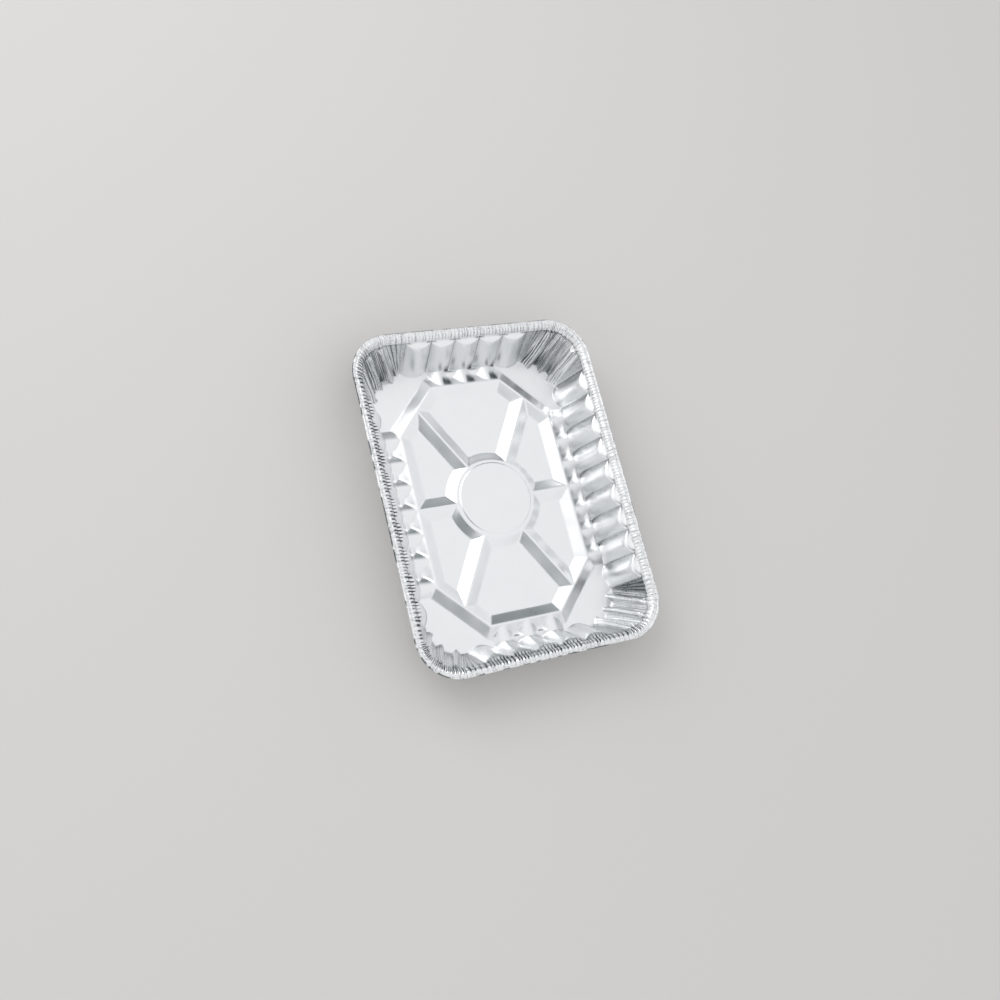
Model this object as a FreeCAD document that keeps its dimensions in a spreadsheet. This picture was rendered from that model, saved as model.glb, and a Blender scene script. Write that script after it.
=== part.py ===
import FreeCAD, Part
import math
import os
from FreeCAD import Placement, Rotation, Vector

# Foil roasting pan pressed from one sheet of foil.
# Millimetres, +Z up, the long side along Y, origin at the middle of the underside.

doc = FreeCAD.newDocument("foil_roasting_pan")

# Driving dimensions

SIZES = [
    ("overall_length", 330.0, "outside of the rolled rim, along Y"),
    ("overall_width", 246.0, "outside of the rolled rim, along X"),
    ("overall_height", 45.0, "table to the top of the rim"),
    ("rim_corner_radius", 40.0, "outer corner of the rim, in plan"),
    ("foil_thickness", 0.15, "heavy pan foil"),
    ("flange_width", 4.6, "outer edge of the rim to the top of the shoulder"),
    ("shoulder_width", 5.0, "plan width of the shoulder between flange and wall"),
    ("shoulder_height", 5.6, "height of the shoulder between flange and wall"),
    ("bead_radius", 1.4, "outer radius of the rolled edge"),
    ("bead_turn", 300.0, "degrees that the edge is rolled round"),
    ("bead_sides", 10, "flat sides of the rolled edge"),
    ("wall_lean", 14.9, "how far the wall's foot stands in from its top"),
    ("foot_corner_radius", 31.0, "corner of the floor, in plan"),
    ("flute_cap", 2.6, "height over which a flute closes at its top"),
    ("flute_depth", 5.0, "how far a flute stands in from the wall"),
    ("flute_crest", 5.0, "flat width along the top of a flute"),
    ("flute_gap", 2.0, "flat width of the valley between two flutes"),
    ("long_pitch", 24.1, "spacing of the flutes on a long wall"),
    ("short_pitch", 25.2, "spacing of the flutes on a short wall"),
    ("long_flutes", 9, "flutes on a long wall"),
    ("short_flutes", 5, "flutes on a short wall"),
    ("corner_folds", 3, "large folds gathered in one corner"),
    ("fold_foot_depth", 9.0, "depth of a fold at the floor"),
    ("fold_top_depth", 5.0, "depth of a fold at the shoulder, if it went on that far"),
    ("fold_crest", 2.0, "flat width along the top of a fold"),
    ("fold_run", 6.4, "plan width of one side of a fold at the floor"),
    ("corner_pleats", 12, "fine pleats over one corner"),
    ("pleat_depth", 0.8, "how far a fine pleat stands in"),
    ("rib_height", 6.0, "floor ribs above the panels"),
    ("rib_crest", 1.2, "flat width along the top of a floor rib"),
    ("rib_run", 10.5, "plan width of one sloping side of a rib"),
    ("ring_half_width", 79.2, "middle to the long sides of the rib ring"),
    ("ring_half_length", 121.0, "middle to the short sides of the rib ring"),
    ("ring_long_side", 150.4, "length of the ring's long sides"),
    ("ring_short_side", 73.0, "length of the ring's short sides"),
    ("spoke_angle", 60.0, "degrees between two spokes"),
    ("hub_radius", 39.7, "flat top of the hub"),
    ("hub_run", 8.8, "plan width of the hub's slope"),
    ("disc_radius", 35.8, "raised disc on the hub"),
    ("disc_step", 0.8, "height of the disc over the hub"),
    ("disc_run", 0.9, "plan width of the disc's edge"),
    ("sill_height", 2.8, "low ridge across the foot of each valley"),
    ("sill_inset", 5.0, "wall's foot to the middle of the sill"),
    ("sill_run", 3.4, "plan width of one side of the sill"),
]

sheet = doc.addObject("Spreadsheet::Sheet", "sizes")
for row, (alias, value, note) in enumerate(SIZES, start=1):
    sheet.set("A%d" % row, alias)
    sheet.set("B%d" % row, str(value))
    sheet.set("C%d" % row, note)
    sheet.setAlias("B%d" % row, alias)
doc.recompute()


def size(alias):
    """Value of one driving dimension."""
    return float(sheet.get(alias))


def bind(obj, **expressions):
    """Tie properties of an object to cells of the sheet."""
    for name, expression in expressions.items():
        obj.setExpression(name, expression.replace("$", "sizes."))
    return obj


foil = size("foil_thickness")
height = size("overall_height")

# Depth below the floor, height above the rim and reach past the wall that a tool has to spare
SPARE = 3.0

# Plan outlines of the wall

top_height = height - size("shoulder_height")
top_inset = size("flange_width") + size("shoulder_width")
top_half_x = size("overall_width") / 2 - top_inset
top_half_y = size("overall_length") / 2 - top_inset
top_radius = size("rim_corner_radius") - top_inset
foot_half_x = top_half_x - size("wall_lean")
foot_half_y = top_half_y - size("wall_lean")
foot_radius = size("foot_corner_radius")

# Sideways offset that gives the leaning wall its full foil thickness
skin_offset = foil * math.hypot(top_height, size("wall_lean")) / top_height


def outline(level, grow, pleat):
    """Closed outline of one skin of the wall, its corners pleated.

    level is the height in the wall, from 0 at the floor to 1 at the shoulder.
    """
    half_x = foot_half_x + (top_half_x - foot_half_x) * level + grow
    half_y = foot_half_y + (top_half_y - foot_half_y) * level + grow
    radius = foot_radius + (top_radius - foot_radius) * level + grow
    share = pleat / foot_radius
    points = 2 * int(size("corner_pleats"))
    quarter = []
    for index in range(points + 1):
        turn = math.pi / 2 * index / points
        reach = radius * (1 - share * (index % 2))
        x = half_x - radius + reach * math.cos(turn)
        y = half_y - radius + reach * math.sin(turn)
        quarter.append((x, y))
    second = [(-x, y) for x, y in reversed(quarter)]
    half = quarter + second
    return half + [(-x, -y) for x, y in half]


def section(name, z, level, grow):
    """Closed wire of one outline at a height."""
    points = [Vector(x, y, z) for x, y in outline(level, grow, size("pleat_depth"))]
    wire = doc.addObject("Part::Feature", name)
    wire.Shape = Part.makePolygon(points + points[:1])
    return wire


def ruled_form(name, wires):
    """Solid with flat faces between closed wires, in order from the lowest."""
    loft = doc.addObject("Part::Loft", name)
    loft.Sections = wires
    loft.Solid = True
    loft.Ruled = True
    return loft


def wall_form(name, grow, drop, top):
    """Solid inside one skin of the wall and of the shoulder above it."""
    flare = grow + size("shoulder_width")
    rows = [
        (foil - drop, 0.0, grow),
        (top_height - drop / 2, 1.0, grow),
        (height - drop / 2, 1.0, flare),
    ]
    if top > height:
        rows.append((top, 1.0, flare))
    wires = []
    for index, (z, level, spread) in enumerate(rows):
        wires.append(section("%s_row_%d" % (name, index), z, level, spread))
    return ruled_form(name, wires)


inner_wall = wall_form("inner_wall", 0.0, 0.0, height + SPARE)
outer_wall = wall_form("outer_wall", skin_offset, foil, height)

# Flutes of the wall and the large folds of its corners

cap_foot = top_height - size("flute_cap")

# How far the back of a ridge stands behind the wall
BACK = 0.5


def leaning_ridge(name, foot, top, inward, depths, crest, run):
    """Ridge that leans with the wall and closes with a flat cap below the shoulder.

    foot and top are points on the wall at the floor and the shoulder, inward points level into
    the pan, depths are the level depths there, and run is the width of a side at the foot.
    """
    low = foot + inward * depths[0]
    high = low + (top + inward * depths[1] - low) * (cap_foot / top_height)
    along = (high - low).normalize()
    out = inward - along * inward.dot(along)
    out.normalize()
    lean = inward.dot(out)
    deep = depths[0] * lean
    back = max(depths) * lean + BACK
    side = crest / 2 + run * back / deep
    below = SPARE
    length = below + (high - low).Length
    cap = size("flute_cap") / along.z * back / (depths[1] * lean)
    wedge = doc.addObject("Part::Wedge", name)
    wedge.Xmin, wedge.Xmax = -side, side
    wedge.X2min, wedge.X2max = -crest / 2, crest / 2
    wedge.Ymin, wedge.Ymax = 0, back
    wedge.Zmin, wedge.Zmax = 0, length + cap
    wedge.Z2min, wedge.Z2max = 0, length
    origin = low - out * back - along * below
    wedge.Placement = Placement(origin, Rotation(out.cross(along), out, along, "ZYX"))
    return wedge


def flutes(tag, grow, drop):
    """Flutes of the four straight walls for one skin."""
    made = []
    crest = size("flute_crest")
    depths = (size("flute_depth"), size("flute_depth"))
    sides = (
        ("long", int(size("long_flutes")), size("long_pitch")),
        ("short", int(size("short_flutes")), size("short_pitch")),
    )
    for side, count, pitch in sides:
        run = (pitch - size("flute_gap") - crest) / 2
        for index in range(count):
            away = (index - (count - 1) / 2) * pitch
            for sign in (1, -1):
                if side == "long":
                    foot = Vector(sign * (foot_half_x + grow), away, -drop)
                    top = Vector(sign * (top_half_x + grow), away, top_height - drop)
                    inward = Vector(-sign, 0, 0)
                else:
                    foot = Vector(away, sign * (foot_half_y + grow), -drop)
                    top = Vector(away, sign * (top_half_y + grow), top_height - drop)
                    inward = Vector(0, -sign, 0)
                name = "%s_%s_flute_%d_%d" % (tag, side, index, sign > 0)
                made.append(leaning_ridge(name, foot, top, inward, depths, crest, run))
    return made


def corner_folds(tag, grow, drop):
    """Large folds of the four corners for one skin."""
    made = []
    count = int(size("corner_folds"))
    depths = (size("fold_foot_depth"), size("fold_top_depth"))
    for index in range(count):
        turn = math.pi / 2 * (index + 0.5) / count
        for sx, sy in ((1, 1), (-1, 1), (-1, -1), (1, -1)):
            away = Vector(sx * math.cos(turn), sy * math.sin(turn), 0)
            ends = []
            for half_x, half_y, radius, z in (
                (foot_half_x, foot_half_y, foot_radius, 0.0),
                (top_half_x, top_half_y, top_radius, top_height),
            ):
                middle = Vector(sx * (half_x - radius), sy * (half_y - radius), z - drop)
                ends.append(middle + away * (radius + grow))
            name = "%s_fold_%d_%d%d" % (tag, index, sx > 0, sy > 0)
            crest, run = size("fold_crest"), size("fold_run")
            made.append(leaning_ridge(name, ends[0], ends[1], away * -1, depths, crest, run))
    return made


# Floor ribs, as the form that presses them up

crest_z = foil + size("rib_height")
root_z = foil - SPARE
root_share = (size("rib_height") + SPARE) / size("rib_height")


def stand(x, y, z, turn):
    """Placement of a wedge stood on its base, its length turned about Z from the X axis."""
    upright = Rotation(Vector(1, 0, 0), 90)
    along = Rotation(Vector(0, 0, 1), turn + 90)
    return Placement(Vector(x, y, z), along * upright)


def ridge(name, x, y, turn, length, crest, run, tall):
    """Straight ridge from a point on the floor, running off at an angle.

    crest, run and tall name its flat width, the plan width of a side and its height.
    """
    wedge = doc.addObject("Part::Wedge", name)
    wedge.Placement = stand(x, y, root_z, turn)
    base = "%s / 2 + %s * (%s + %g) / %s" % (crest, run, tall, SPARE, tall)
    bind(wedge, Xmin="-(%s)" % base, Xmax=base, X2min="-%s / 2" % crest, X2max="%s / 2" % crest)
    bind(wedge, Ymax="%s + %g" % (tall, SPARE))
    wedge.Ymin = 0
    wedge.Zmin = 0
    wedge.Zmax = length
    wedge.Z2min = 0
    wedge.Z2max = length
    return wedge


def ring_points(spread):
    """Octagon of the rib ring, moved outward by spread."""
    half_x = size("ring_half_width")
    half_y = size("ring_half_length")
    side = size("ring_long_side") / 2
    end = size("ring_short_side") / 2
    slant = math.atan2(half_y - side, half_x - end)
    shift_side = spread * math.tan((math.pi / 2 - slant) / 2)
    shift_end = spread * math.tan(slant / 2)
    quarter = [
        (half_x + spread, side + shift_side),
        (end + shift_end, half_y + spread),
    ]
    half = quarter + [(-x, y) for x, y in reversed(quarter)]
    return half + [(-x, -y) for x, y in half]


def ring_face(name, foot_spread, crest_spread):
    """Solid with the sloping sides of one face of the rib ring."""
    wires = []
    for tag, spread, z in (("foot", foot_spread, root_z), ("crest", crest_spread, crest_z)):
        points = [Vector(x, y, z) for x, y in ring_points(spread)]
        wire = doc.addObject("Part::Feature", "%s_%s" % (name, tag))
        wire.Shape = Part.makePolygon(points + points[:1])
        wires.append(wire)
    return ruled_form(name, wires)


ring_crest = size("rib_crest") / 2
ring_foot = ring_crest + size("rib_run") * root_share
ring_outside = ring_face("ring_outside", ring_foot, ring_crest)
ring_inside = ring_face("ring_inside", -ring_foot, -ring_crest)
rib_ring = doc.addObject("Part::Cut", "rib_ring")
rib_ring.Base = ring_outside
rib_ring.Tool = ring_inside

hub = doc.addObject("Part::Cone", "hub")
bind(hub, Radius1="$hub_radius + $hub_run * ($rib_height + %g) / $rib_height" % SPARE)
bind(hub, Radius2="$hub_radius", Height="$rib_height + %g" % SPARE)
hub.Placement.Base = Vector(0, 0, root_z)

disc = doc.addObject("Part::Cone", "disc")
bind(disc, Radius1="$disc_radius + 2 * $disc_run", Radius2="$disc_radius", Height="2 * $disc_step")
disc.Placement.Base = Vector(0, 0, crest_z - size("disc_step"))

raised = [rib_ring, hub, disc]

# Six spokes from the hub to the ring
RIB = ("$rib_crest", "$rib_run", "$rib_height")
spoke_turn = size("spoke_angle")


def spoke_reach(turn):
    """Distance from the middle to the ring's crest along a spoke."""
    away = math.radians(turn)
    corner_a, corner_b = ring_points(0.0)[:2]
    if turn % 180 == 0:
        return size("ring_half_width")
    direction = (abs(math.cos(away)), abs(math.sin(away)))
    edge = (corner_b[0] - corner_a[0], corner_b[1] - corner_a[1])
    cross = direction[0] * edge[1] - direction[1] * edge[0]
    return (corner_a[0] * edge[1] - corner_a[1] * edge[0]) / cross


for index in range(3):
    turn = (index - 1) * spoke_turn
    for tag, way in (("a", turn), ("b", turn + 180)):
        spoke = ridge("spoke_%d%s" % (index, tag), 0, 0, way, spoke_reach(turn), *RIB)
        raised.append(spoke)

# Cross ribs from the ring out to the flutes, one for each flute that faces the ring
CROSS = {}
for side, pitch in (("long", "$long_pitch"), ("short", "$short_pitch")):
    run = "((%s - $flute_gap - $flute_crest) / 2)" % pitch
    CROSS[side] = ("$flute_crest", run, "$rib_height")


def cross_places(pitch, count, face):
    """Places along a wall of the flutes that face a straight side of the ring."""
    flat = (face - size("flute_crest")) / 2
    places = [(index - (count - 1) / 2) * pitch for index in range(count)]
    return [along for along in places if abs(along) <= flat]


def cross_ribs(side, places, start, reach):
    """Cross ribs on one side of the floor and its mirror image."""
    made = []
    for index, along in enumerate(places):
        for tag, way in (("a", 0), ("b", 180)):
            turn = way if side == "long" else way + 90
            sign = 1 if way == 0 else -1
            x, y = (sign * start, along) if side == "long" else (along, sign * start)
            name = "%s_cross_%d%s" % (side, index, tag)
            made.append(ridge(name, x, y, turn, reach - start, *CROSS[side]))
    return made


long_places = cross_places(
    size("long_pitch"), int(size("long_flutes")), size("ring_long_side")
)
short_places = cross_places(
    size("short_pitch"), int(size("short_flutes")), size("ring_short_side")
)
raised += cross_ribs("long", long_places, size("ring_half_width"), top_half_x)
raised += cross_ribs("short", short_places, size("ring_half_length"), top_half_y)

# Low sill across the valleys, just inside the foot of the wall, from the first cross rib
# to the last, so that its ends are inside them
SILL = ("$rib_crest", "$sill_run", "$sill_height")
for tag, sign in (("a", 1), ("b", -1)):
    sill_x = sign * (foot_half_x - size("sill_inset"))
    sill_y = sign * (foot_half_y - size("sill_inset"))
    long_run = long_places[-1] - long_places[0]
    short_run = short_places[-1] - short_places[0]
    raised.append(ridge("long_sill_" + tag, sill_x, long_places[0], 90, long_run, *SILL))
    raised.append(ridge("short_sill_" + tag, short_places[0], sill_y, 0, short_run, *SILL))

doc.recompute()

top_ribs = doc.addObject("Part::MultiFuse", "top_ribs")
top_ribs.Shapes = raised
doc.recompute()

# The same form, one foil thickness lower, presses the underside
under_ribs = doc.addObject("Part::Feature", "under_ribs")
under_ribs.Shape = top_ribs.Shape.copy()
under_ribs.Placement = Placement(Vector(0, 0, -foil), Rotation())

inner_press = doc.addObject("Part::MultiFuse", "inner_press")
inner_press.Shapes = [top_ribs] + flutes("inner", 0.0, 0.0) + corner_folds("inner", 0.0, 0.0)

outer_press = doc.addObject("Part::MultiFuse", "outer_press")
outer_press.Shapes = (
    [under_ribs] + flutes("outer", skin_offset, foil) + corner_folds("outer", skin_offset, foil)
)

hollow = doc.addObject("Part::Cut", "hollow")
hollow.Base = inner_wall
hollow.Tool = inner_press

outside = doc.addObject("Part::Cut", "outside")
outside.Base = outer_wall
outside.Tool = outer_press

# Rim: flat flange with its edge rolled under

bead_path = doc.addObject("Part::Feature", "bead_path")


def rounded_path(half_x, half_y, radius, z):
    """Closed rounded rectangle of lines and arcs, starting in the middle of a long side."""
    edges = []
    straight_x = half_x - radius
    straight_y = half_y - radius
    slant = radius * math.sqrt(0.5)
    start = Vector(half_x, 0, z)
    for sx, sy in ((1, 1), (-1, 1), (-1, -1), (1, -1)):
        side = Vector(sx * half_x, sy * straight_y, z)
        middle = Vector(sx * (straight_x + slant), sy * (straight_y + slant), z)
        end = Vector(sx * straight_x, sy * half_y, z)
        first, last = (side, end) if sx * sy > 0 else (end, side)
        edges.append(Part.makeLine(start, first))
        edges.append(Part.Arc(first, middle, last).toShape())
        start = last
    edges.append(Part.makeLine(start, Vector(half_x, 0, z)))
    return Part.Wire(edges)


bead = size("bead_radius")
bead_path.Shape = rounded_path(
    size("overall_width") / 2 - bead,
    size("overall_length") / 2 - bead,
    size("rim_corner_radius") - bead,
    height - bead,
)

# Section of the rim: the flange as a strip that runs into the rolled edge
rim_section = doc.addObject("Sketcher::SketchObject", "rim_section")
rim_section.Placement = Placement(
    Vector(size("overall_width") / 2 - bead, 0, height - bead),
    Rotation(Vector(1, 0, 0), 90),
)
LAP = 1.5
strip = size("flange_width") - bead + LAP
inner_roll = bead - foil
sides = int(size("bead_sides"))


def roll(radius):
    """Points round the rolled edge, from its top outward and under."""
    points = []
    for index in range(sides + 1):
        turn = math.radians(90 - size("bead_turn") * index / sides)
        points.append(Vector(radius * math.cos(turn), radius * math.sin(turn), 0))
    return points


corners = [Vector(-strip, bead, 0)] + roll(bead)
corners += roll(inner_roll)[::-1] + [Vector(-strip, inner_roll, 0)]
for first, last in zip(corners, corners[1:] + corners[:1]):
    rim_section.addGeometry(Part.LineSegment(first, last), False)
doc.recompute()

rim = doc.addObject("Part::Sweep", "rim")
rim.Sections = [rim_section]
rim.Spine = (bead_path, [])
rim.Solid = True
rim.Frenet = False
doc.recompute()

# One pressed sheet

sheet_metal = doc.addObject("Part::MultiFuse", "pressed_outside")
sheet_metal.Shapes = [outside, rim]

pan = doc.addObject("Part::Cut", "foil_pan")
pan.Base = sheet_metal
pan.Tool = hollow
pan.Label = "foil_pan"
doc.recompute()

NODES = [pan]

for obj in doc.Objects:
    if "Invalid" in obj.State or "Error" in obj.State:
        raise RuntimeError("%s did not build: %s" % (obj.Label, obj.State))

for node in NODES:
    shape = node.Shape
    if shape.isNull() or not shape.isValid():
        raise RuntimeError("%s has no valid shape" % node.Label)
    if len(shape.Solids) != 1:
        raise RuntimeError("%s has %d solids" % (node.Label, len(shape.Solids)))

os.makedirs("parts", exist_ok=True)
for node in NODES:
    print(node.Label, "volume", round(node.Shape.Volume), "faces", len(node.Shape.Faces))
    node.Shape.exportStep("parts/%s.step" % node.Label)
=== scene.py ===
import math

import bpy
import numpy as np
from bpy.props import FloatProperty, FloatVectorProperty, IntProperty, PointerProperty
from mathutils import Matrix, Vector


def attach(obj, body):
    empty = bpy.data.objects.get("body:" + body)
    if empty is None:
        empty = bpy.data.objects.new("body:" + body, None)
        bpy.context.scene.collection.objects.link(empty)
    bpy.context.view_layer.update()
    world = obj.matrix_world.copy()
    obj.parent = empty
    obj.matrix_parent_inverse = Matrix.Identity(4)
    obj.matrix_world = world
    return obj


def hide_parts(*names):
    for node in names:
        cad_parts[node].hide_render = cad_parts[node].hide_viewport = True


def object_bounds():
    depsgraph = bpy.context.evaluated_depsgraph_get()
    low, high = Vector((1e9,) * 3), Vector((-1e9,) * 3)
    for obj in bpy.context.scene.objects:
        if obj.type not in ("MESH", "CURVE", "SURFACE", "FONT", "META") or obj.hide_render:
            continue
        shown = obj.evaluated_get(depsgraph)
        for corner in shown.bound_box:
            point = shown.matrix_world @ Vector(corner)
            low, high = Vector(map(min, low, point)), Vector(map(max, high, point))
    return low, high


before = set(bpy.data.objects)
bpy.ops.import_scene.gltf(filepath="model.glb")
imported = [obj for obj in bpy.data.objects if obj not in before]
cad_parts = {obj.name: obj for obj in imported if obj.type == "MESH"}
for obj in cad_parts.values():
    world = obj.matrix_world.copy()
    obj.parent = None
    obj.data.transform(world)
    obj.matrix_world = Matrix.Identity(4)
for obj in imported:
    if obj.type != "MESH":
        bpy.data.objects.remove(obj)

CAD_BOX = [list(corner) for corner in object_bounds()]

bl_info = {
    "name": "Foil Roasting Pan",
    "version": (1, 0, 0),
    "blender": (4, 5, 0),
    "location": "3D View > Sidebar > Pan",
    "description": "Dresses a pressed foil roasting pan and its studio",
    "category": "Add Mesh",
}

MM = 0.001
NODE = "foil_pan"
WIDE, LONG, TALL = (CAD_BOX[1][axis] - CAD_BOX[0][axis] for axis in range(3))


# Settings


class PanSizes(bpy.types.PropertyGroup):
    """Sizes of the pressed sheet"""

    width: FloatProperty(
        name="Width", description="Outside of the rolled rim, along X",
        default=WIDE, min=0.05, unit="LENGTH",
    )
    length: FloatProperty(
        name="Length", description="Outside of the rolled rim, along Y",
        default=LONG, min=0.05, unit="LENGTH",
    )
    height: FloatProperty(
        name="Height", description="Table to the top of the rim",
        default=TALL, min=0.01, unit="LENGTH",
    )
    foil: FloatProperty(
        name="Foil", description="Thickness of the sheet",
        default=0.15 * MM, min=0.01 * MM, unit="LENGTH", precision=5,
    )
    wobble: FloatProperty(
        name="Wobble", description="Steepness of the broad waves that handling leaves in the foil",
        default=0.016, min=0.0, max=0.2,
    )
    crimp: FloatProperty(
        name="Crimp", description="How far a crimp of the shoulder stands to each side",
        default=0.42 * MM, min=0.0, unit="LENGTH", precision=5,
    )
    pleat: FloatProperty(
        name="Pleat", description="Depth of the fine pleats of a corner",
        default=0.8 * MM, min=0.0, unit="LENGTH", precision=5,
    )
    seed: IntProperty(
        name="Seed", description="Which set of handling marks is used", default=7, min=0,
    )


class FoilFinish(bpy.types.PropertyGroup):
    """Look of the foil"""

    colour: FloatVectorProperty(
        name="Colour", description="Colour of the bare foil", subtype="COLOR",
        size=3, default=(0.86, 0.868, 0.872), min=0.0, max=1.0,
    )
    shade: FloatVectorProperty(
        name="Shade", description="Colour where rolling has dulled the foil", subtype="COLOR",
        size=3, default=(0.80, 0.812, 0.818), min=0.0, max=1.0,
    )
    # painted shade: the dark colour that creases, pockets and crimp slits are mixed toward
    crease_shade: FloatVectorProperty(
        name="Crease", description="Colour deep in the tight creases", subtype="COLOR",
        size=3, default=(0.07, 0.085, 0.09), min=0.0, max=1.0,
    )
    roughness: FloatProperty(
        name="Roughness", description="Blur of the foil's reflections", subtype="FACTOR",
        default=0.33, min=0.0, max=1.0,
    )
    crinkle: FloatProperty(
        name="Crinkle", description="Height of the fine crinkles of worked foil",
        default=0.4 * MM, min=0.0, unit="LENGTH", precision=6,
    )


class StudioLook(bpy.types.PropertyGroup):
    """Floor, light and camera"""

    floor: FloatVectorProperty(
        name="Floor", description="Colour of the floor", subtype="COLOR",
        size=3, default=(0.62, 0.605, 0.59), min=0.0, max=1.0,
    )
    sky: FloatVectorProperty(
        name="Sky", description="Colour of the light from all round", subtype="COLOR",
        size=3, default=(0.96, 0.965, 0.98), min=0.0, max=1.0,
    )
    window: FloatVectorProperty(
        name="Window", description="Colour of the brighter light from the left", subtype="COLOR",
        size=3, default=(1.27, 1.27, 1.27), min=0.0, max=4.0,
    )
    gap: FloatVectorProperty(
        name="Gap", description="Colour in the gaps between the studio's white walls",
        subtype="COLOR", size=3, default=(0.05, 0.085, 0.09), min=0.0, max=1.0,
    )
    power: FloatProperty(
        name="Power", description="Brightness of the lamp", default=1.0, min=0.0,
    )
    lens: FloatProperty(
        name="Lens", description="Focal length of the camera in millimetres",
        default=35.56, min=1.0,
    )


# Sizes of the form, in millimetres, as all lengths are until a mesh is made

TOP_CORNER = 30.4
FOOT_CORNER = 31.0
FLANGE = 4.6
SHOULDER = 5.0
SHOULDER_DROP = 5.6
SHOULDER_BEND = (1.9, 0.5)  # in from the wall and down from the rim, where the curve bends
FLANGE_DROP = 0.35
FLANGE_SAG = 0.25
LEAN = 14.9
BEAD = 1.4
BEAD_TURN = 300.0
BEAD_SLACK = 0.2
FLUTE_DEPTH = 5.0
FLUTE_POWER = 1.9
FLUTE_FLATS = 7.0  # crest and valley of a flute together
CAP_HEIGHT = 2.6
LONG_PITCH = 24.1
SHORT_PITCH = 25.2
LONG_FLUTES = 4.5  # from the middle of a long wall to its last valley
SHORT_FLUTES = 2.5
LONG_CROSS = 3  # cross ribs to each side of the middle one
SHORT_CROSS = 1
CROSS_CREST = 2.5
RIB = 6.0
RIB_CREST = 0.6
RIB_RUN = 10.5
RING_X = 79.2
RING_Y = 121.0
RING_SIDE = 75.2
RING_END = 36.5
SPOKES = (0.0, 60.0, 120.0)
HUB = 39.7
HUB_RUN = 8.8
HUB_CLEAR = 12.0
DISC = 35.8
DISC_STEP = 0.8
DISC_RUN = 0.9
SILL = 2.8
SILL_INSET = 5.0
SILL_RUN = 3.4
FOLD_FOOT = 9.0
FOLD_TOP = 5.0
FOLD_CREST = 1.0
FOLD_RUN = 6.4
FOLDS = 3
PLEATS = 12
CRIMPS = 180

# Widths over which foil rounds a corner between two faces
ROUND_RIB = 0.5
ROUND_HUB = 0.6
ROUND_HUB_FOOT = 0.8
ROUND_CROSS = 3.6
ROUND_SILL = 1.6
ROUND_POCKET = 3.2
ROUND_PANEL = 0.7
ROUND_CAP = 3.0
ROUND_FOLD = 2.6
ROUND_FOLD_CAP = 0.5
ROUND_WALL = 0.1

# Columns of the grid: of one flute, of a turn into a corner, and of a corner
FLUTE_COLUMNS = 24
TURN_COLUMNS = 12
CORNER_COLUMNS = 96

# Rows of the grid: radii round the disc and hub, then distances inside and outside the ring
MIDDLE_RADII = (0.0, 12.0, 24.0, 32.0, 34.4, 35.2, 35.8, 36.4, 37.0, 38.2)
HUB_RADII = (39.2, 49.6)
HUB_ROWS = 10
PANEL_ROWS = 8
INNER_GAPS = (13.0, 11.9, 11.1, 10.3, 9.0, 7.0, 5.0, 3.2, 2.0, 1.2, 0.6, 0.0)
OUTER_GAPS = (0.7, 1.5, 2.8, 4.6, 6.6, 8.6, 10.2, 11.1)
OUTER_CLEAR = 12.5
POCKET_ROWS = 10
FLANK_ROWS = 13
FLANK_POWER = 0.9
CAP_ROWS = 6
SHOULDER_ROWS = 9
FLANGE_SHARES = (0.12, 0.28, 0.46, 0.64, 0.8, 0.92)
ROLL_ROWS = 15

# First row past the ring, of the wall's foot, then the wall's and shoulder's last, and the roll
FLOOR_ROWS = len(MIDDLE_RADII) + HUB_ROWS + PANEL_ROWS + len(INNER_GAPS)
WALL_FOOT = FLOOR_ROWS + len(OUTER_GAPS) + POCKET_ROWS
WALL_TOP = WALL_FOOT + FLANK_ROWS + CAP_ROWS - 1
SHOULDER_TOP = WALL_TOP + SHOULDER_ROWS
ROLL = SHOULDER_TOP + len(FLANGE_SHARES) + 1
ALL_ROWS = ROLL + ROLL_ROWS

# How dark the painted shade is in each kind of creased place, 0 to 1
PLEAT_SHADE = 0.32
FOLD_SHADE = 0.95
VALLEY_SHADE = 0.28
CAP_SHADOW = 0.45
FLANK_SHADE = 0.46
POCKET_SHADES = (0.0, 0.3, 0.8, 1.0, 1.0, 0.7, 0.3, 0.1, 0.0)
FOOT_SHADES = (0.15, 0.5, 0.9, 1.0, 0.6, 0.2)
ROLL_SHADES = (0.1, 0.5, 1, 1, 1, 1, 1, 1, 0.8)

TINY = 1e-6


# Surfaces


def soft_max(a, b, k):
    """Larger of two values, with the corner between them rounded over a width k."""
    mix = np.maximum(k - np.abs(a - b), 0.0) / k
    return np.maximum(a, b) + mix * mix * k / 4


def soft_min(a, b, k):
    """Smaller of two values, with the corner between them rounded over a width k."""
    return -soft_max(-a, -b, k)


def smooth_step(low, high, value):
    """0 below low, 1 above high and 3 s^2 - 2 s^3 of the share s between."""
    share = np.clip((value - low) / (high - low), 0.0, 1.0)
    return share * share * (3 - 2 * share)


def rib_profile(distance, crest, run, tall, k):
    """Height across a rib: flat for crest on each side, then down by tall in run, and on."""
    return soft_min(tall - (distance - crest) * tall / run, tall, k)


def from_nearest(place):
    """Distance from the nearest whole number, less than 0 below it."""
    return place - np.round(place)


DIAGONAL = np.array((RING_Y - RING_SIDE, RING_X - RING_END))
DIAGONAL = DIAGONAL / np.linalg.norm(DIAGONAL)
DIAGONAL_REACH = DIAGONAL[0] * RING_X + DIAGONAL[1] * RING_SIDE


def ring_side(x, y):
    """Distance outside the crest of the eight-sided ring, the greatest of its planes'."""
    ax, ay = np.abs(x), np.abs(y)
    slant = DIAGONAL[0] * ax + DIAGONAL[1] * ay - DIAGONAL_REACH
    return np.maximum(np.maximum(ax - RING_X, ay - RING_Y), slant)


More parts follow.
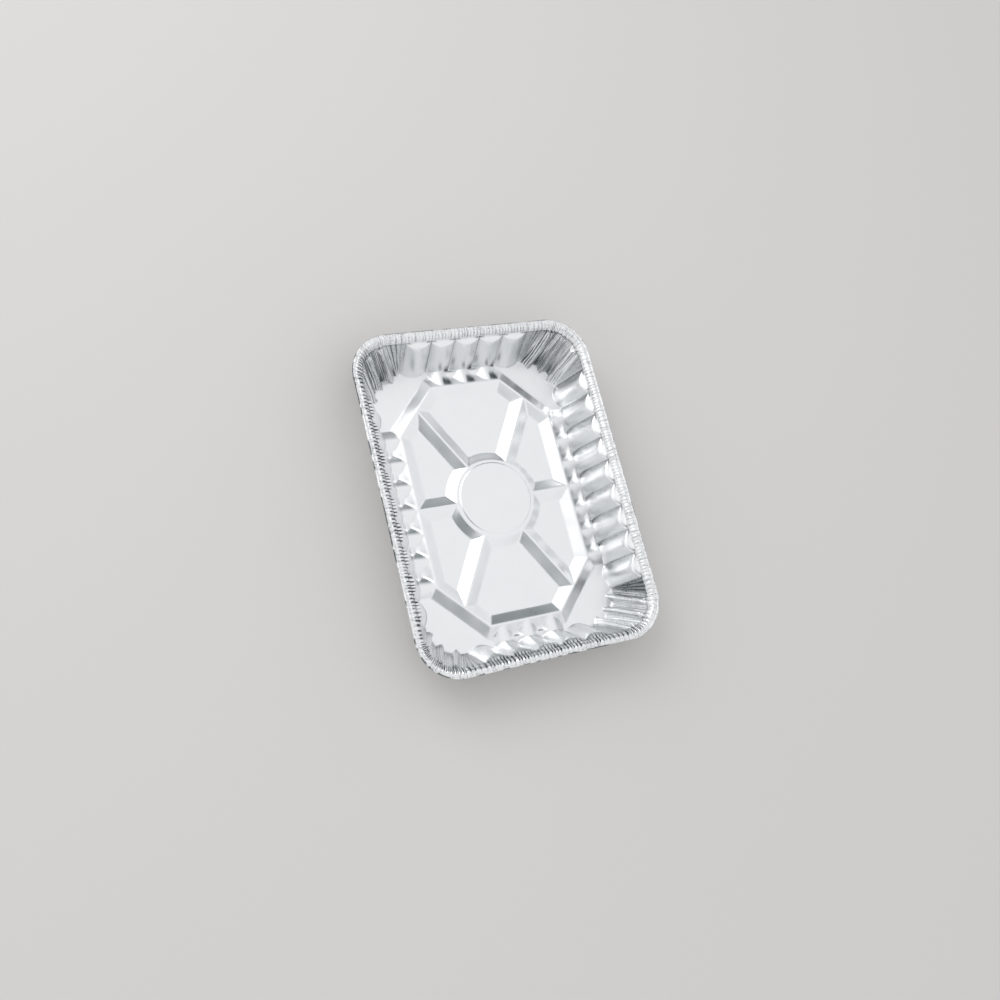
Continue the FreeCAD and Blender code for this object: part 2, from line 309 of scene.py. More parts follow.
def floor_height(x, y, half_x, half_y):
    """Height of the floor: the rounded greatest of the ring, spokes, hub, cross ribs and sills.

    The hub is a cone cut off level with the ribs, and the disc a smooth step on it. Cross ribs
    and sills lie outside the ring, where the panels between them are rounded into pockets.
    """
    away = ring_side(x, y)
    radius = np.hypot(x, y)
    high = rib_profile(np.abs(away), RIB_CREST, RIB_RUN, RIB, ROUND_RIB)
    spokes = np.full_like(x, -99.0)
    for turn in SPOKES:
        along = math.radians(turn)
        off = np.abs(x * math.sin(along) - y * math.cos(along))
        spokes = np.maximum(spokes, rib_profile(off, RIB_CREST, RIB_RUN, RIB, ROUND_RIB))
    high = soft_max(high, np.where(away < 0, spokes, -99.0), ROUND_RIB)
    hub = soft_min(RIB - (radius - HUB) * RIB / HUB_RUN, RIB, ROUND_HUB)
    high = soft_max(high, np.where(away < -HUB_CLEAR, hub, -99.0), ROUND_HUB_FOOT)
    high = np.minimum(high, RIB)
    bowl = np.full_like(x, ROUND_PANEL)
    for across, along, pitch, ribs, reach, half in (
        (x, y, LONG_PITCH, LONG_CROSS, RING_X, half_x),
        (y, x, SHORT_PITCH, SHORT_CROSS, RING_Y, half_y),
    ):
        outside = np.abs(across) >= reach
        index = np.round(along / pitch)
        off = np.abs(along - index * pitch)
        cross = rib_profile(off, CROSS_CREST, (pitch - FLUTE_FLATS) / 2, RIB, ROUND_CROSS)
        high = np.maximum(high, np.where(outside & (np.abs(index) <= ribs), cross, -99.0))
        off = np.abs(np.abs(across) - (half - SILL_INSET))
        sill = rib_profile(off, RIB_CREST, SILL_RUN, SILL, ROUND_RIB)
        between = outside & (np.abs(along) <= ribs * pitch)
        high = np.where(between, soft_max(high, sill, ROUND_SILL), high)
        bowl = np.where(between, ROUND_POCKET, bowl)
    high = soft_max(high, 0.0, bowl)
    step = np.clip((DISC + DISC_RUN / 2 - radius) / DISC_RUN + 0.5, 0.0, 1.0)
    return high + DISC_STEP * step * step * (3 - 2 * step)


def quarter_columns(half_x, half_y):
    """Columns of one quarter, from the middle of the +X wall to the middle of the +Y wall.

    Each column has its foot and top on the plain wall, its direction into the pan, its distance
    from the middle of a flute as a share of half the pitch, and its turn round the corner.
    """
    foot_x, foot_y = half_x - LEAN, half_y - LEAN
    side, end = foot_y - FOOT_CORNER, foot_x - FOOT_CORNER
    top_side, top_end = half_y - TOP_CORNER, half_x - TOP_CORNER
    flute_side, flute_end = LONG_PITCH * LONG_FLUTES, SHORT_PITCH * SHORT_FLUTES
    parts = []

    share = np.arange(int(FLUTE_COLUMNS * LONG_FLUTES)) / (FLUTE_COLUMNS * LONG_FLUTES)
    y = share * flute_side
    wave = np.abs(from_nearest(y / LONG_PITCH)) * 2
    one = np.ones_like(y)
    parts.append(np.stack([foot_x * one, y, half_x * one, y, -one, 0 * y, wave, 0 * y]))

    share = np.arange(TURN_COLUMNS) / TURN_COLUMNS
    one = np.ones_like(share)
    low = flute_side + (side - flute_side) * share
    high = flute_side + (top_side - flute_side) * share
    parts.append(np.stack([foot_x * one, low, half_x * one, high, -one, 0 * one, one, 0 * one]))

    turn = np.arange(CORNER_COLUMNS) / CORNER_COLUMNS * math.pi / 2
    c, s = np.cos(turn), np.sin(turn)
    parts.append(np.stack([
        end + FOOT_CORNER * c, side + FOOT_CORNER * s,
        top_end + TOP_CORNER * c, top_side + TOP_CORNER * s,
        -c, -s, np.ones_like(c), turn,
    ]))

    share = 1 - np.arange(TURN_COLUMNS) / TURN_COLUMNS
    low = flute_end + (end - flute_end) * share
    high = flute_end + (top_end - flute_end) * share
    right = math.pi / 2 * one
    parts.append(np.stack([low, foot_y * one, high, half_y * one, 0 * one, -one, one, right]))

    share = 1 - np.arange(int(FLUTE_COLUMNS * SHORT_FLUTES) + 1) / (FLUTE_COLUMNS * SHORT_FLUTES)
    x = share * flute_end
    wave = np.abs(from_nearest(x / SHORT_PITCH)) * 2
    one = np.ones_like(x)
    right = math.pi / 2 * one
    parts.append(np.stack([x, foot_y * one, x, half_y * one, 0 * one, -one, wave, right]))
    return np.concatenate(parts, axis=1)


def all_columns(half_x, half_y):
    """The quarter's columns and their mirror images, once round the pan."""
    quarter = quarter_columns(half_x, half_y)

    def turned(part, sx, sy):
        return part * np.array((sx, sy, sx, sy, sx, sy, 1, 1), dtype=float)[:, None]

    return np.concatenate([
        quarter[:, :-1],
        turned(quarter[:, :0:-1], -1, 1),
        turned(quarter[:, :-1], -1, -1),
        turned(quarter[:, :0:-1], 1, -1),
    ], axis=1)


def waves(points, steep, seed):
    """Broad waves of handled foil: a sum of plane waves of random direction and phase.

    A wave's height is its steepness over its wave number, so all lengths are equally steep.
    """
    rng = np.random.default_rng(seed)
    total = np.zeros(points.shape[:-1])
    for length in np.geomspace(14.0, 90.0, 18):
        way = rng.normal(size=3)
        way[2] *= 0.6
        way /= np.linalg.norm(way)
        number = 2 * math.pi / length
        phase = rng.uniform(0, 2 * math.pi)
        total += np.sin(points @ way * number + phase) / number
    return total * steep / 3


def smooth_noise(count, step, rng):
    """Values between -1 and 1 once round a loop of count columns, changing every step columns."""
    knots = rng.uniform(-1, 1, count // step)
    place = np.arange(count) / step
    low = np.floor(place).astype(int)
    share = place - low
    share = share * share * (3 - 2 * share)
    return knots[low % len(knots)] * (1 - share) + knots[(low + 1) % len(knots)] * share


def grid_normals(points):
    """Unit normals of a grid of rows and closed columns, from its central differences.

    The first row is the one point in the middle, which faces up.
    """
    along = np.roll(points, -1, axis=1) - np.roll(points, 1, axis=1)
    down = np.gradient(points, axis=0)
    normal = np.cross(down, along)
    size = np.linalg.norm(normal, axis=-1, keepdims=True)
    normal = normal / np.maximum(size, 1e-9)
    normal[0] = (0.0, 0.0, 1.0)
    return normal


def with_height(place, height):
    """Points from their places in plan and one height, or a height for each."""
    return np.column_stack([place, np.broadcast_to(height, len(place))])


def ring_crest(foot, turn, foot_half):
    """Point on the ring's crest for each column of the wall's foot, and the way that side faces.

    A column of a straight wall goes straight in. The others share out the slanting side evenly
    by their way along the foot: straight, round the corner and straight again.
    """
    ax, ay = np.abs(foot).T
    long_side = (ay <= RING_SIDE) & (ax > foot_half[0] - TINY)
    short_side = (ax <= RING_END) & (ay > foot_half[1] - TINY)
    end, side = (half - FOOT_CORNER for half in foot_half)
    way = np.clip(ay, RING_SIDE, side) - RING_SIDE + FOOT_CORNER * turn
    way = way + (end - np.clip(ax, RING_END, end))
    whole = (side - RING_SIDE) + FOOT_CORNER * math.pi / 2
    whole += end - RING_END
    part = way / whole
    ring_x = np.where(short_side, ax, RING_X + (RING_END - RING_X) * part)
    ring_y = np.where(long_side, ay, RING_SIDE + (RING_Y - RING_SIDE) * part)
    ring_x = np.where(long_side, RING_X, ring_x)
    ring_y = np.where(short_side, RING_Y, ring_y)
    facing = np.where(
        long_side[:, None], np.array((1.0, 0.0)),
        np.where(short_side[:, None], np.array((0.0, 1.0)), DIAGONAL),
    )
    ring = np.sign(foot) * np.column_stack([ring_x, ring_y])
    return ring, facing * np.where(foot < 0, -1.0, 1.0), long_side, short_side


class Sheet:
    """The pressed foil as one grid, whose rows run round the pan from the middle outward.

    Inside the ring a row is the ring drawn toward the middle, at the floor's height. Past it a
    row lies between the ring and the wall's foot. Up the wall it is the plain leaning wall plus
    the inward depth of flutes, folds and pleats. Then come a curve for the shoulder, the level
    flange and a circle for the rolled edge.
    """

    def __init__(self, sizes):
        self.sizes = sizes
        self.half_x = sizes.width / MM / 2 - FLANGE - SHOULDER
        self.half_y = sizes.length / MM / 2 - FLANGE - SHOULDER
        self.foot_half = (self.half_x - LEAN, self.half_y - LEAN)
        self.rim_height = sizes.height / MM
        self.height = self.rim_height - SHOULDER_DROP
        self.foil = sizes.foil / MM
        columns = all_columns(self.half_x, self.half_y)
        self.foot, self.top, self.inward = columns[0:2].T, columns[2:4].T, columns[4:6].T
        self.wave, self.turn = columns[6], columns[7]
        self.count = len(self.wave)
        self.corner = np.abs(self.foot[:, 0]) > self.foot_half[0] - FOOT_CORNER + TINY
        self.corner &= np.abs(self.foot[:, 1]) > self.foot_half[1] - FOOT_CORNER + TINY
        self.fold_place = np.abs((self.turn / (math.pi / 2 / FOLDS)) % 1.0 - 0.5)
        # the hand that pressed the sheet drew the -X and -Y sides the tightest
        self.tight = smooth_step(-0.35, 0.75, self.inward @ np.array((0.86, 0.5)))
        # weight of the painted shade in the corners and their slits, most on the +Y side
        self.painted_shade_side = 0.12 + 0.88 * smooth_step(-0.1, 0.75, self.inward @ np.array((0.1, -1.0)))
        self.draw_marks(np.random.default_rng(sizes.seed))
        self.ring, self.facing, self.long_side, self.short_side = ring_crest(
            self.foot, self.turn, self.foot_half
        )

    def draw_marks(self, rng):
        """Random shares of the columns, so that no pleat or crimp is quite like the next."""

        def noise(step):
            return smooth_noise(self.count, step, rng)

        phase = self.turn / (math.pi / 2) * PLEATS + 0.12 * noise(6)
        pleat_gain = 1 + 0.6 * noise(8)
        fine_gain = 0.6 + 0.6 * noise(6)
        self.ridge = 0.5 - 0.5 * np.cos(phase * 2 * math.pi)
        self.fine = 0.5 - 0.5 * np.cos(phase * 6 * math.pi + 0.6)
        pleats = self.ridge * pleat_gain + 0.5 * self.fine * fine_gain
        self.pleats = self.sizes.pleat / MM * pleats
        phase = np.arange(self.count) * (CRIMPS / self.count) + 0.16 * noise(8)
        self.crimp_angle = phase * 2 * math.pi
        self.crimp_gain = (0.75 + 0.45 * noise(12)) * (0.2 + 0.8 * self.tight)
        self.crimped = self.sizes.crimp / MM * np.cos(self.crimp_angle) * self.crimp_gain
        self.waver = 0.14 * noise(9) + 0.08 * noise(4)
        self.patch = 0.5 + 0.5 * noise(10)
        # how strongly painted shade shows in the slits of a corner's pleats
        self.pleat_slit_shade = 0.16 + 0.55 * self.patch * self.painted_shade_side + 0.16 * noise(5)
        self.broken = smooth_step(-0.3, 0.5, noise(5) + 0.6 * noise(36))

    def depth(self, share):
        """Inward depth of the wall at a share of its height.

        A flute is 1 - wave ^ 1.9 of its depth, wave being 0 at its middle and 1 in the valley.
        A fold is level on its crest and slopes away beside it. Both close in a slope at the top,
        and a corner has its pleats besides.
        """
        below_top = self.height - self.height * share
        flute = FLUTE_DEPTH * (1 - np.clip(self.wave, 0, 1) ** FLUTE_POWER)
        flute = soft_min(flute, below_top / CAP_HEIGHT * FLUTE_DEPTH, ROUND_CAP)
        fold = (FOLD_FOOT + (FOLD_TOP - FOLD_FOOT) * share) * (1 - 0.35 * self.tight)
        fold = fold * (0.8 + 0.2 * smooth_step(0.0, 0.35, share))
        radius = FOOT_CORNER + (TOP_CORNER - FOOT_CORNER) * share
        off = self.fold_place * math.pi / (2 * FOLDS) * radius
        large = soft_min(fold, fold - (off - FOLD_CREST) * (FOLD_FOOT / FOLD_RUN), ROUND_FOLD)
        large = soft_min(large, below_top / CAP_HEIGHT * fold, ROUND_FOLD_CAP)
        large = np.where(self.corner, large, 0.0)
        fluted = np.where(self.wave < 1, flute, 0.0)
        pleats = self.pleats * (0.15 + 0.85 * smooth_step(0.0, 0.5, share))
        out = soft_max(np.maximum(large, fluted), 0.0, ROUND_WALL)
        return out + np.where(self.corner, pleats, 0.0)

    def wall(self, level):
        """Points of the wall at a height given for every column."""
        share = (level - self.foil) / (self.height - self.foil)
        place = self.foot + (self.top - self.foot) * share[:, None]
        return with_height(place + self.inward * self.depth(share)[:, None], level)

    def floor(self, place):
        """Points of the floor at places in plan."""
        return with_height(place, self.foil + floor_height(*place.T, *self.foot_half))

    def inset(self, gap):
        """Share of the way out to the ring at which each column is a gap short of its planes."""
        ax, ay = np.abs(self.ring).T
        slant = DIAGONAL[0] * ax + DIAGONAL[1] * ay
        straight = np.minimum(
            (RING_X - gap) / np.maximum(ax, TINY), (RING_Y - gap) / np.maximum(ay, TINY)
        )
        return np.minimum(straight, (DIAGONAL_REACH - gap) / slant)

    def inner_rows(self):
        """Rows of the disc, hub and panels: circles, then steps on to the ring's inner slope."""
        reach = np.linalg.norm(self.ring, axis=1)
        near, far = HUB_RADII[1] / reach, self.inset(INNER_GAPS[0])
        shares = [r / reach for r in (*MIDDLE_RADII, *np.linspace(*HUB_RADII, HUB_ROWS))]
        shares += [near + (far - near) * s for s in np.linspace(0, 1, PANEL_ROWS + 2)[1:-1]]
        shares += [self.inset(gap) for gap in INNER_GAPS]
        return [self.floor(self.ring * share[:, None]) for share in shares]

    def outer_rows(self, start):
        """Rows of the ring's outer slope and of the pockets, on to where the wall starts."""
        out = start - self.ring
        clear = np.maximum((out * self.facing).sum(axis=1), OUTER_CLEAR)
        last = OUTER_GAPS[-1] / clear
        shares = [gap / clear for gap in OUTER_GAPS]
        shares += [last + (1 - last) * s for s in np.linspace(0, 1, POCKET_ROWS + 2)[1:-1]]
        return [self.floor(self.ring + out * share[:, None]) for share in shares]

    def wall_rows(self, meet):
        """Rows of the wall from its foot, crimped along the last few on the tight sides."""
        cap_foot = self.height - CAP_HEIGHT
        shares = np.linspace(0, 1, FLANK_ROWS) ** FLANK_POWER
        rows = [self.wall(meet + (cap_foot - meet) * share) for share in shares]
        for share in np.linspace(0, 1, CAP_ROWS + 1)[1:]:
            rows.append(self.wall(np.full(self.count, cap_foot + CAP_HEIGHT * share)))
        for back, strength in enumerate((0.9, 0.8, 0.6, 0.35, 0.12), start=1):
            lift = self.crimped * self.tight * strength
            rows[-back] = rows[-back] + with_height(self.inward * lift[:, None], 0.0)
        return rows

    def rim_rows(self):
        """Rows of the shoulder, the flange and the rolled edge.

        The shoulder is a quadratic curve through the wall's top, its bend and the flange, moved
        along its own normal by the crimps. The flange sags as a sine, and the edge is a circle.
        """
        rows = []
        top, inward = self.top, self.inward
        flange_level = self.rim_height - FLANGE_DROP
        bend_out, bend_drop = SHOULDER_BEND
        ends = np.array((
            (0.0, self.height), (bend_out, self.rim_height - bend_drop), (SHOULDER, flange_level),
        ))
        wall_depth = self.depth(np.full(self.count, 1.0))
        for share in np.linspace(0, 1, SHOULDER_ROWS + 1)[1:]:
            weights = np.array(((1 - share) ** 2, 2 * share * (1 - share), share ** 2))
            out, level = weights @ ends
            slope = 2 * (1 - share) * (ends[1] - ends[0]) + 2 * share * (ends[2] - ends[1])
            slope /= np.linalg.norm(slope)
            fading = self.tight + (1 - self.tight) * smooth_step(0.0, 0.3, share)
            lift = self.crimped * fading + wall_depth * (1 - share) ** 2
            place = top - inward * (out - slope[1] * lift)[:, None]
            rows.append(with_height(place, level + slope[0] * lift))
        flat = SHOULDER + FLANGE - BEAD
        for share in FLANGE_SHARES:
            out = SHOULDER + (flat - SHOULDER) * share
            sag = FLANGE_SAG * math.sin(share * math.pi)
            level = flange_level - sag + FLANGE_DROP * share ** 3
            lift = self.crimped * (1 - smooth_step(0.0, 0.5, share))
            rows.append(with_height(top - inward * out, level + lift))
        for angle in np.linspace(90.0, 90.0 - BEAD_TURN, ROLL_ROWS):
            way = math.radians(angle)
            reach = BEAD + self.waver * math.cos(way) * (angle > -90) - BEAD_SLACK
            place = top - inward * (flat + reach * math.cos(way))[:, None]
            rows.append(with_height(place, self.rim_height - BEAD + BEAD * math.sin(way)))
        return rows

    def points(self):
        """All rows of the grid, with the waves that handling leaves along their normals."""
        meet = np.full(self.count, self.foil)
        for _ in range(4):
            meet = self.floor(self.wall(meet)[:, :2])[:, 2]
        start = self.wall(meet)[:, :2]
        points = np.stack([
            *self.inner_rows(), *self.outer_rows(start), *self.wall_rows(meet), *self.rim_rows(),
        ])
        strength = np.ones(ALL_ROWS)
        strength[0] = 0.0
        strength[WALL_FOOT:] = 0.4
        strength[WALL_TOP:] = 0.25
        lift = waves(points, self.sizes.wobble, self.sizes.seed + 1) * strength[:, None]
        lift[0] = lift[1].mean()
        points = points + grid_normals(points) * lift[..., None]
        low = points[:WALL_FOOT + 2, :, 2]
        points[:WALL_FOOT + 2, :, 2] = np.maximum(low, self.foil + 0.02)
        points[..., 2] = np.minimum(points[..., 2], self.rim_height)
        return points

    def worked(self):
        """How far pressing has worked the foil: least on the floor and most on the rim."""
        worked = np.full((ALL_ROWS, self.count), 0.03)
        worked[WALL_FOOT + 1:] = 0.10
        worked[WALL_FOOT:, self.corner] = 0.6
        worked[WALL_FOOT + 1:, self.beside()] = 0.4
        worked[WALL_TOP:] = 0.8
        worked[SHOULDER_TOP:] = 1.0
        return worked

    def beside(self):
        """Columns between a wall's last flute and its corner."""
        return (self.wave > 0.9999) & ~self.corner

    def creases(self):
        """Painted shade, 0 to 1: how deep in the creases each point lies, from the marks of every
        kind there.
        """
        crease_shade = np.zeros((ALL_ROWS, self.count))
        in_flutes = self.wave < 1.0001
        inward_x, inward_y = self.inward.T
        long_place = from_nearest(self.foot[:, 1] / LONG_PITCH)

        # corners: painted shade between the pleats, and at the feet of the folds
        climb = np.linspace(0, 1, WALL_TOP + 1 - WALL_FOOT)[:, None]
        valley = smooth_step(0.35, 1.0, 1 - self.fine) * 0.45
        valley = valley + smooth_step(0.4, 1.0, 1 - self.ridge) * 0.5
        near_floor = np.exp(-((climb - 0.02) / 0.16) ** 2)
        beside_fold = smooth_step(0.55, 1.0, self.fold_place * 2)
        marks = valley * PLEAT_SHADE * self.patch + FOLD_SHADE * near_floor * beside_fold
        crease_shade[WALL_FOOT:WALL_TOP + 1] = np.where(self.corner, marks * self.painted_shade_side, 0.0)

        # painted shade down the valley between flutes, and a painted shadow line at the ends of
        # their caps
        valley_shade = smooth_step(0.88, 1.0, self.wave) * in_flutes * (~self.corner)
        crease_shade[WALL_FOOT:WALL_TOP + 1] += VALLEY_SHADE * valley_shade * smooth_step(0.0, 0.1, climb)
        cap_shadow = CAP_SHADOW * smooth_step(0.45, 0.8, self.wave) * in_flutes
        crease_shade[WALL_TOP - 1:WALL_TOP + 1] = np.maximum(crease_shade[WALL_TOP - 1:WALL_TOP + 1], cap_shadow)

        # painted shade in the pockets beside the ring and at the wall's foot, where the foil is
        # pressed in the furthest, darkest on the +Y wall and then the +X wall
        place = from_nearest(
            np.where(self.long_side, self.foot[:, 1] / LONG_PITCH, self.foot[:, 0] / SHORT_PITCH)
        )
        pockets = (self.long_side | self.short_side) & in_flutes
        pocket_side_shade = 0.10 + 0.85 * smooth_step(0.5, 1.0, -inward_y)
        pocket_side_shade = pocket_side_shade + 0.35 * smooth_step(0.5, 1.0, -inward_x)
        near_ring = smooth_step(0.02, 0.14, place) * (1 - smooth_step(0.34, 0.48, place)) * pockets
        near_foot = smooth_step(0.18, 0.34, place) * (1 - smooth_step(0.44, 0.50, place)) * pockets
        rows = slice(FLOOR_ROWS, FLOOR_ROWS + len(POCKET_SHADES))
        crease_shade[rows] = np.array(POCKET_SHADES)[:, None] * near_ring * pocket_side_shade
        rows = slice(WALL_FOOT - 3, WALL_FOOT - 3 + len(FOOT_SHADES))
        crease_shade[rows] += np.array(FOOT_SHADES)[:, None] * near_foot * pocket_side_shade

        # painted shade on the flanks of the +X wall's flutes that face +Y
        flank = smooth_step(0.06, 0.4, long_place) * smooth_step(0.5, 1.0, -inward_x) * in_flutes
        crease_shade[WALL_FOOT:WALL_TOP] += FLANK_SHADE * flank * (0.8 + 0.2 * self.patch)

        # painted shade in a broken line along the outside of the rolled edge
        rows = slice(ROLL, ROLL + len(ROLL_SHADES))
        crease_shade[rows] = np.array(ROLL_SHADES)[:, None] * self.broken
        return np.clip(crease_shade, 0.0, 1.0)

    def crimp_slit_shade(self):
        """Cosine and sine of the crimps' phase, and how strongly the painted shade in their slits
        shows.
        """
        shown = np.zeros((ALL_ROWS, self.count))
        share = np.linspace(0, 1, SHOULDER_ROWS + 1)[:, None]
        fading = self.tight + (1 - self.tight) * smooth_step(0.0, 0.3, share)
        shown[WALL_TOP:SHOULDER_TOP + 1] = fading * (1 - smooth_step(0.8, 1.0, share))
        rise = np.linspace(1, 0, 9)[::-1, None]
        shown[WALL_TOP - 8:WALL_TOP + 1] = smooth_step(0.0, 0.9, rise) * self.tight
        shown = shown * np.clip(self.crimp_gain * 1.35, 0.25, 1)
        pleat_slit_shade = np.where(self.beside(), 0.7 * self.pleat_slit_shade, 0.0)
        pleat_slit_shade = np.where(self.corner, self.pleat_slit_shade, pleat_slit_shade)
        walls = shown[WALL_FOOT:WALL_TOP + 1]
        shown[WALL_FOOT:WALL_TOP + 1] = np.maximum(walls, pleat_slit_shade)
        shown[SHOULDER_TOP - 1:ROLL] = np.maximum(shown[SHOULDER_TOP - 1:ROLL], 0.09)
        cosine = np.cos(self.crimp_angle) + 0 * shown
        return np.stack([cosine, np.sin(self.crimp_angle) + 0 * shown, shown], axis=-1)

    def course(self, points):
        """Place of each point on a tube as long round as the rim: its turn and its way up.

        A wrinkle that is long on this tube runs up the wall, and has no seam round the pan.
        """
        step = np.linalg.norm(np.roll(self.top, -1, axis=0) - self.top, axis=1)
        length = step.sum()
        turn = np.concatenate([[0.0], np.cumsum(step)[:-1]]) / length * 2 * math.pi
        radius = length / (2 * math.pi)
        climb = np.linalg.norm(np.diff(points, axis=0), axis=-1)
        climb = np.concatenate([np.zeros((1, self.count)), np.cumsum(climb, axis=0)])
        round_x = np.broadcast_to(radius * np.cos(turn), climb.shape)
        round_y = np.broadcast_to(radius * np.sin(turn), climb.shape)
        return np.stack([round_x, round_y, climb], axis=-1)

    def layers(self):
        """The grid's points and normals, and the layers the foil's finish reads, its painted shade
        too.
        """
        points = self.points()
        return {
            "points": points,
            "normals": grid_normals(points),
            "worked": self.worked(),
            "crease_shade": self.creases(),
            "crimps": self.crimp_slit_shade(),
            "run": self.course(points) * MM,
        }


def shell_piece(name, grid, foil, pole):
    """Closed shell between a grid of the upper skin and the same grid one foil thickness behind.

    The upper skin's vertices come first, and those behind follow in the same order. A pole is a
    first row that is one point, joined to the next by a fan. Open rows are joined skin to skin.
    """
    first = 1 if pole else 0
    rows, count = grid["points"].shape[:2]

    def by_vertex(layer):
        """A layer's values at the vertices of one skin."""
        return np.concatenate([layer[0, :first], layer[first:].reshape(-1, *layer.shape[2:])])

    upper, facing = by_vertex(grid["points"]), by_vertex(grid["normals"])
    coords = np.concatenate([upper, upper - facing * foil]) * MM
    skin = len(upper)
    ring = np.arange(count)
    after = (ring + 1) % count
    band = np.arange(rows - first - 1)[:, None] * count + first
    faces = np.stack([
        band + ring, band + count + ring, band + count + after, band + after,
    ], axis=-1).reshape(-1, 4)

    def joined(row):
        """Quads from a row of the upper skin to the one behind it."""
        start = row * count + first
        return np.stack([start + ring, start + ring + skin, start + after + skin, start + after], -1)

    quads = [faces, faces[:, ::-1] + skin]
    if not pole:
        quads.append(joined(0)[:, ::-1])
    quads.append(joined(rows - first - 1))
    quads = np.concatenate(quads)
    tris = np.zeros((0, 3), dtype=int)
    if pole:
        fan = np.stack([0 * ring, first + ring, first + after], axis=-1)
        tris = np.concatenate([fan, fan[:, ::-1] + skin])
    loops = np.concatenate([tris.reshape(-1), quads.reshape(-1)]).astype(np.int32)
    corners = np.concatenate([np.full(len(tris), 3), np.full(len(quads), 4)])
    starts = np.concatenate([[0], np.cumsum(corners)[:-1]]).astype(np.int32)

    mesh = bpy.data.meshes.new(name)
    mesh.vertices.add(len(coords))
    mesh.vertices.foreach_set("co", coords.astype(np.float32).reshape(-1))
    mesh.loops.add(len(loops))
    mesh.loops.foreach_set("vertex_index", loops)
    mesh.polygons.add(len(corners))
    mesh.polygons.foreach_set("loop_start", starts)
    mesh.update(calc_edges=True)
    mesh.polygons.foreach_set("use_smooth", np.ones(len(corners), dtype=bool))
    for label, kind, field in (
        ("worked", "FLOAT", "value"), ("crease_shade", "FLOAT", "value"),
        ("crimps", "FLOAT_VECTOR", "vector"), ("run", "FLOAT_VECTOR", "vector"),
    ):
        values = by_vertex(grid[label]).astype(np.float32)
        values = np.concatenate([values, values]).reshape(-1)
        mesh.attributes.new(label, kind, "POINT").data.foreach_set(field, values)
    mesh.validate()
    mesh.normals_split_custom_set_from_vertices(np.concatenate([facing, -facing]).tolist())
    piece = bpy.data.objects.new(name, mesh)
    bpy.context.scene.collection.objects.link(piece)
    return piece


# Shader maths


class Socket:
    """A shader socket whose sums, differences and products add their own Math nodes."""

    def __init__(self, tree, socket):
        self.tree = tree
        self.socket = socket

    def math(self, operation, *values):
        return self.tree.add("ShaderNodeMath", {"operation": operation}, values)

    def __add__(self, other):
        return self.math("ADD", self, other)

    def __sub__(self, other):
        return self.math("SUBTRACT", self, other)

    def __mul__(self, other):
        return self.math("MULTIPLY", self, other)

    def __rsub__(self, other):
        return self.math("SUBTRACT", other, self)

    def __abs__(self):
        return self.math("ABSOLUTE", self)

    __radd__ = __add__
    __rmul__ = __mul__


class NodeTree:
    """Emptied node tree of a material or a world, in which one method makes every node."""

    def __init__(self, owner):
        owner.use_nodes = True
        self.tree = owner.node_tree
        self.tree.nodes.clear()

    def add(self, kind, settings, inputs, output=0):
        """New node of a kind, its settings first and then its sockets, by place or by name.

        Gives the output asked for, or None where the node has none.
        """
        made = self.tree.nodes.new(kind)
        for name, value in settings.items():
            setattr(made, name, value)
        pairs = inputs.items() if isinstance(inputs, dict) else enumerate(inputs)
        for name, value in pairs:
            if isinstance(value, Socket):
                self.tree.links.new(value.socket, made.inputs[name])
            else:
                made.inputs[name].default_value = value
        return Socket(self, made.outputs[output]) if made.outputs else None

    def attribute(self, name, output):
        """A layer of the mesh, as a number from Fac or as a vector from Vector."""
        return self.add("ShaderNodeAttribute", {"attribute_name": name}, {}, output)

    def noise(self, vector, scale, detail, rough):
        """Cloudy noise with scale patches to a metre."""
        inputs = {"Vector": vector, "Scale": scale, "Detail": detail, "Roughness": rough}
        return self.add("ShaderNodeTexNoise", {}, inputs, "Fac")

    def stretched(self, vector, scale):
        """A vector with each axis multiplied by its own scale."""
        return self.add("ShaderNodeMapping", {}, {"Vector": vector, "Scale": scale})

    def smooth(self, value, low, high):
        """0 below low, 1 above high and smooth between."""
        settings = {"interpolation_type": "SMOOTHSTEP"}
        return self.add("ShaderNodeMapRange", settings, [value, low, high, 0.0, 1.0])

    def mixed(self, share, first, second):
        """Blend of two colours or links, from first at 0 to second at 1."""
        ends = [c if isinstance(c, Socket) else (*c, 1.0) for c in (first, second)]
        inputs = {"Factor": share, MIX_FIRST: ends[0], MIX_SECOND: ends[1]}
        return self.add("ShaderNodeMix", {"data_type": "RGBA"}, inputs, MIX_COLOUR)


# Sockets of a Mix node that carry colour
MIX_FIRST, MIX_SECOND, MIX_COLOUR = 6, 7, 2


